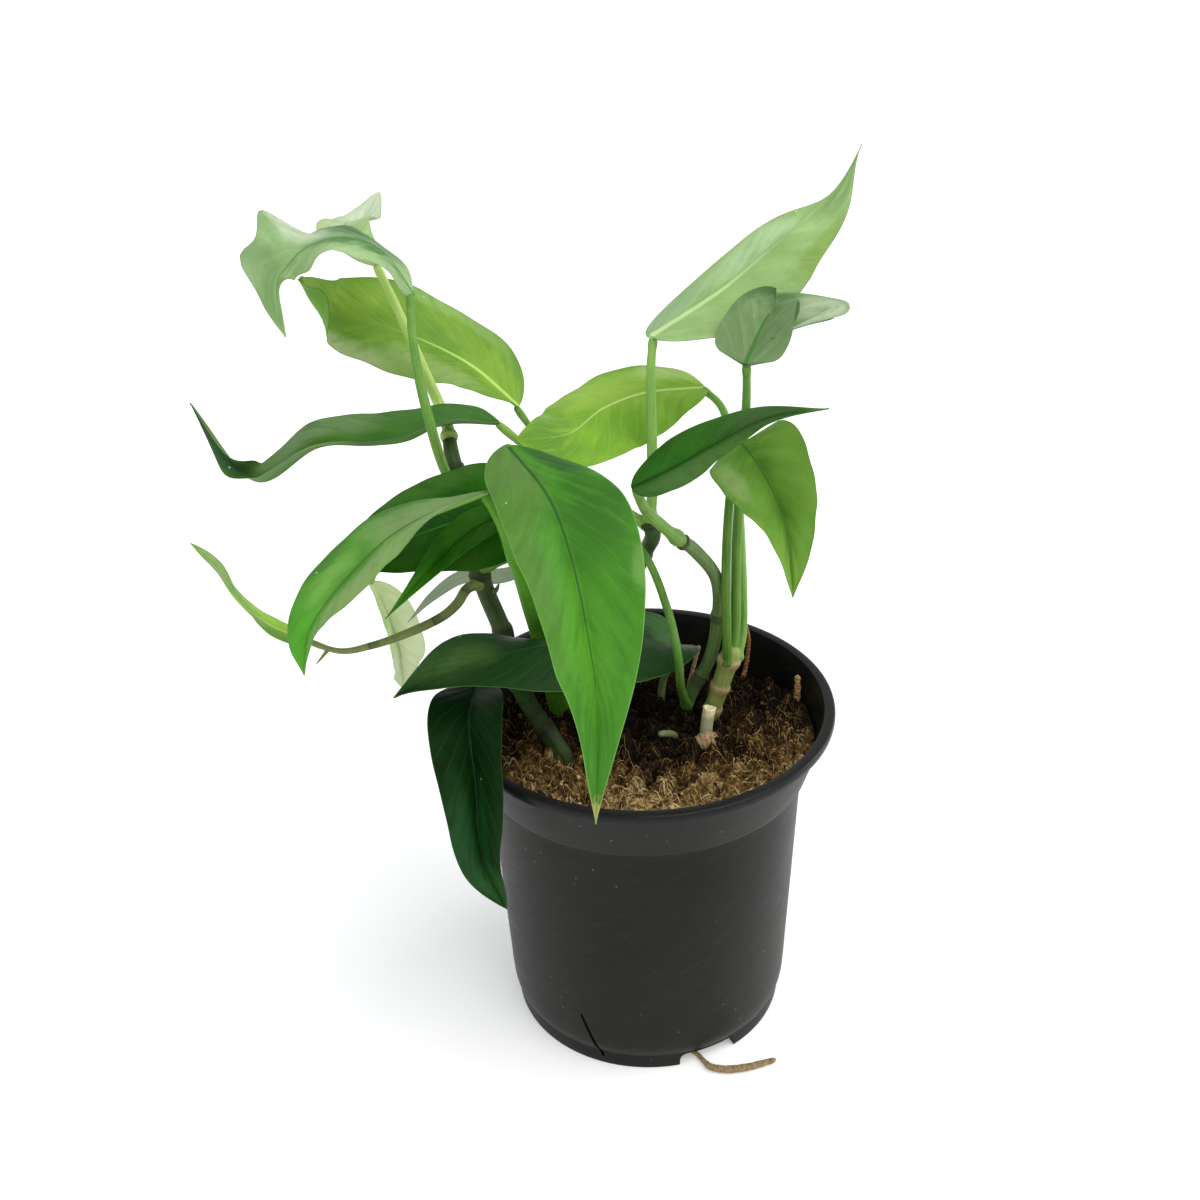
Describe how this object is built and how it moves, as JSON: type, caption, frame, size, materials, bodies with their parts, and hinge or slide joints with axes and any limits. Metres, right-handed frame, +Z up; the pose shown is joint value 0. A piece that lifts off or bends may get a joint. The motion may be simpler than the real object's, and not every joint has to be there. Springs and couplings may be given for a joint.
{
  "type": "potted baltic blue pothos",
  "caption": "Potted climbing aroid with slender stems and lance-shaped blue-green leaves, in a round black plastic nursery pot.",
  "frame": {"origin": "on the pot's axis, in the plane that the pot stands on", "axes": "+Z up along the pot's axis, +X to the right and +Y away from the viewer of the picture"},
  "size_m": [0.1974, 0.1599, 0.2734],
  "materials": {
    "pot_plastic": "satin charcoal plastic",
    "soil": "damp fibrous potting mix",
    "stem_green": "smooth green stem",
    "stem_pale": "pale ringed stem",
    "stalk_green": "smooth waxy stalk",
    "leaf_green": "satin leaf",
    "leaf_dark": "satin dark blue-green leaf",
    "leaf_bright": "satin yellow-green leaf",
    "leaf_pale": "pale grey-green leaf",
    "cut_wood": "dry cut end",
    "dry_root": "dry brown root"
  },
  "bodies": {
    "root": {"callus": "dry_root", "leaf_arched_left": "leaf_pale", "leaf_bright_centre": "leaf_bright", "leaf_broad_back_left": "leaf_bright", "leaf_curled_right": "leaf_pale", "leaf_dark_left": "leaf_dark", "leaf_dark_right": "leaf_dark", "leaf_front_drooping": "leaf_green", "leaf_front_left": "leaf_green", "leaf_hanging_left": "leaf_dark", "leaf_hanging_right": "leaf_green", "leaf_long_wavy_left": "leaf_green", "leaf_low_dark": "leaf_dark", "leaf_narrow_behind": "leaf_pale", "leaf_pale_back_left": "leaf_pale", "leaf_pale_low_left": "leaf_pale", "leaf_small_dark_left": "leaf_dark", "leaf_tall_right": "leaf_bright", "leaf_young_narrow": "leaf_bright", "pot": "pot_plastic", "root_dry_back": "dry_root", "root_from_drain": "dry_root", "shoot_side_left": "stalk_green", "soil": "soil", "stalk_arched_left": "stalk_green", "stalk_bright_centre": "stalk_green", "stalk_broad_back_left": "stalk_green", "stalk_curled_right": "stalk_green", "stalk_dark_left": "stalk_green", "stalk_dark_right": "stalk_green", "stalk_front_drooping": "stalk_green", "stalk_front_left": "stalk_green", "stalk_hanging_left": "stalk_green", "stalk_hanging_right": "stalk_green", "stalk_long_wavy_left": "stalk_green", "stalk_low_dark": "stalk_green", "stalk_narrow_behind": "stalk_green", "stalk_pale_back_left": "stalk_green", "stalk_pale_low_left": "stalk_green", "stalk_small_dark_left": "stalk_green", "stalk_tall_right": "stalk_green", "stem_back_right": "stem_pale", "stem_left": "stem_green", "stem_middle": "stem_green", "stem_right": "stem_green", "stub_cut_ring": "cut_wood", "stub_old_petiole": "stalk_green", "twig_dry_middle": "dry_root", "twig_knobby_right": "dry_root"}
  },
  "joints": []
}
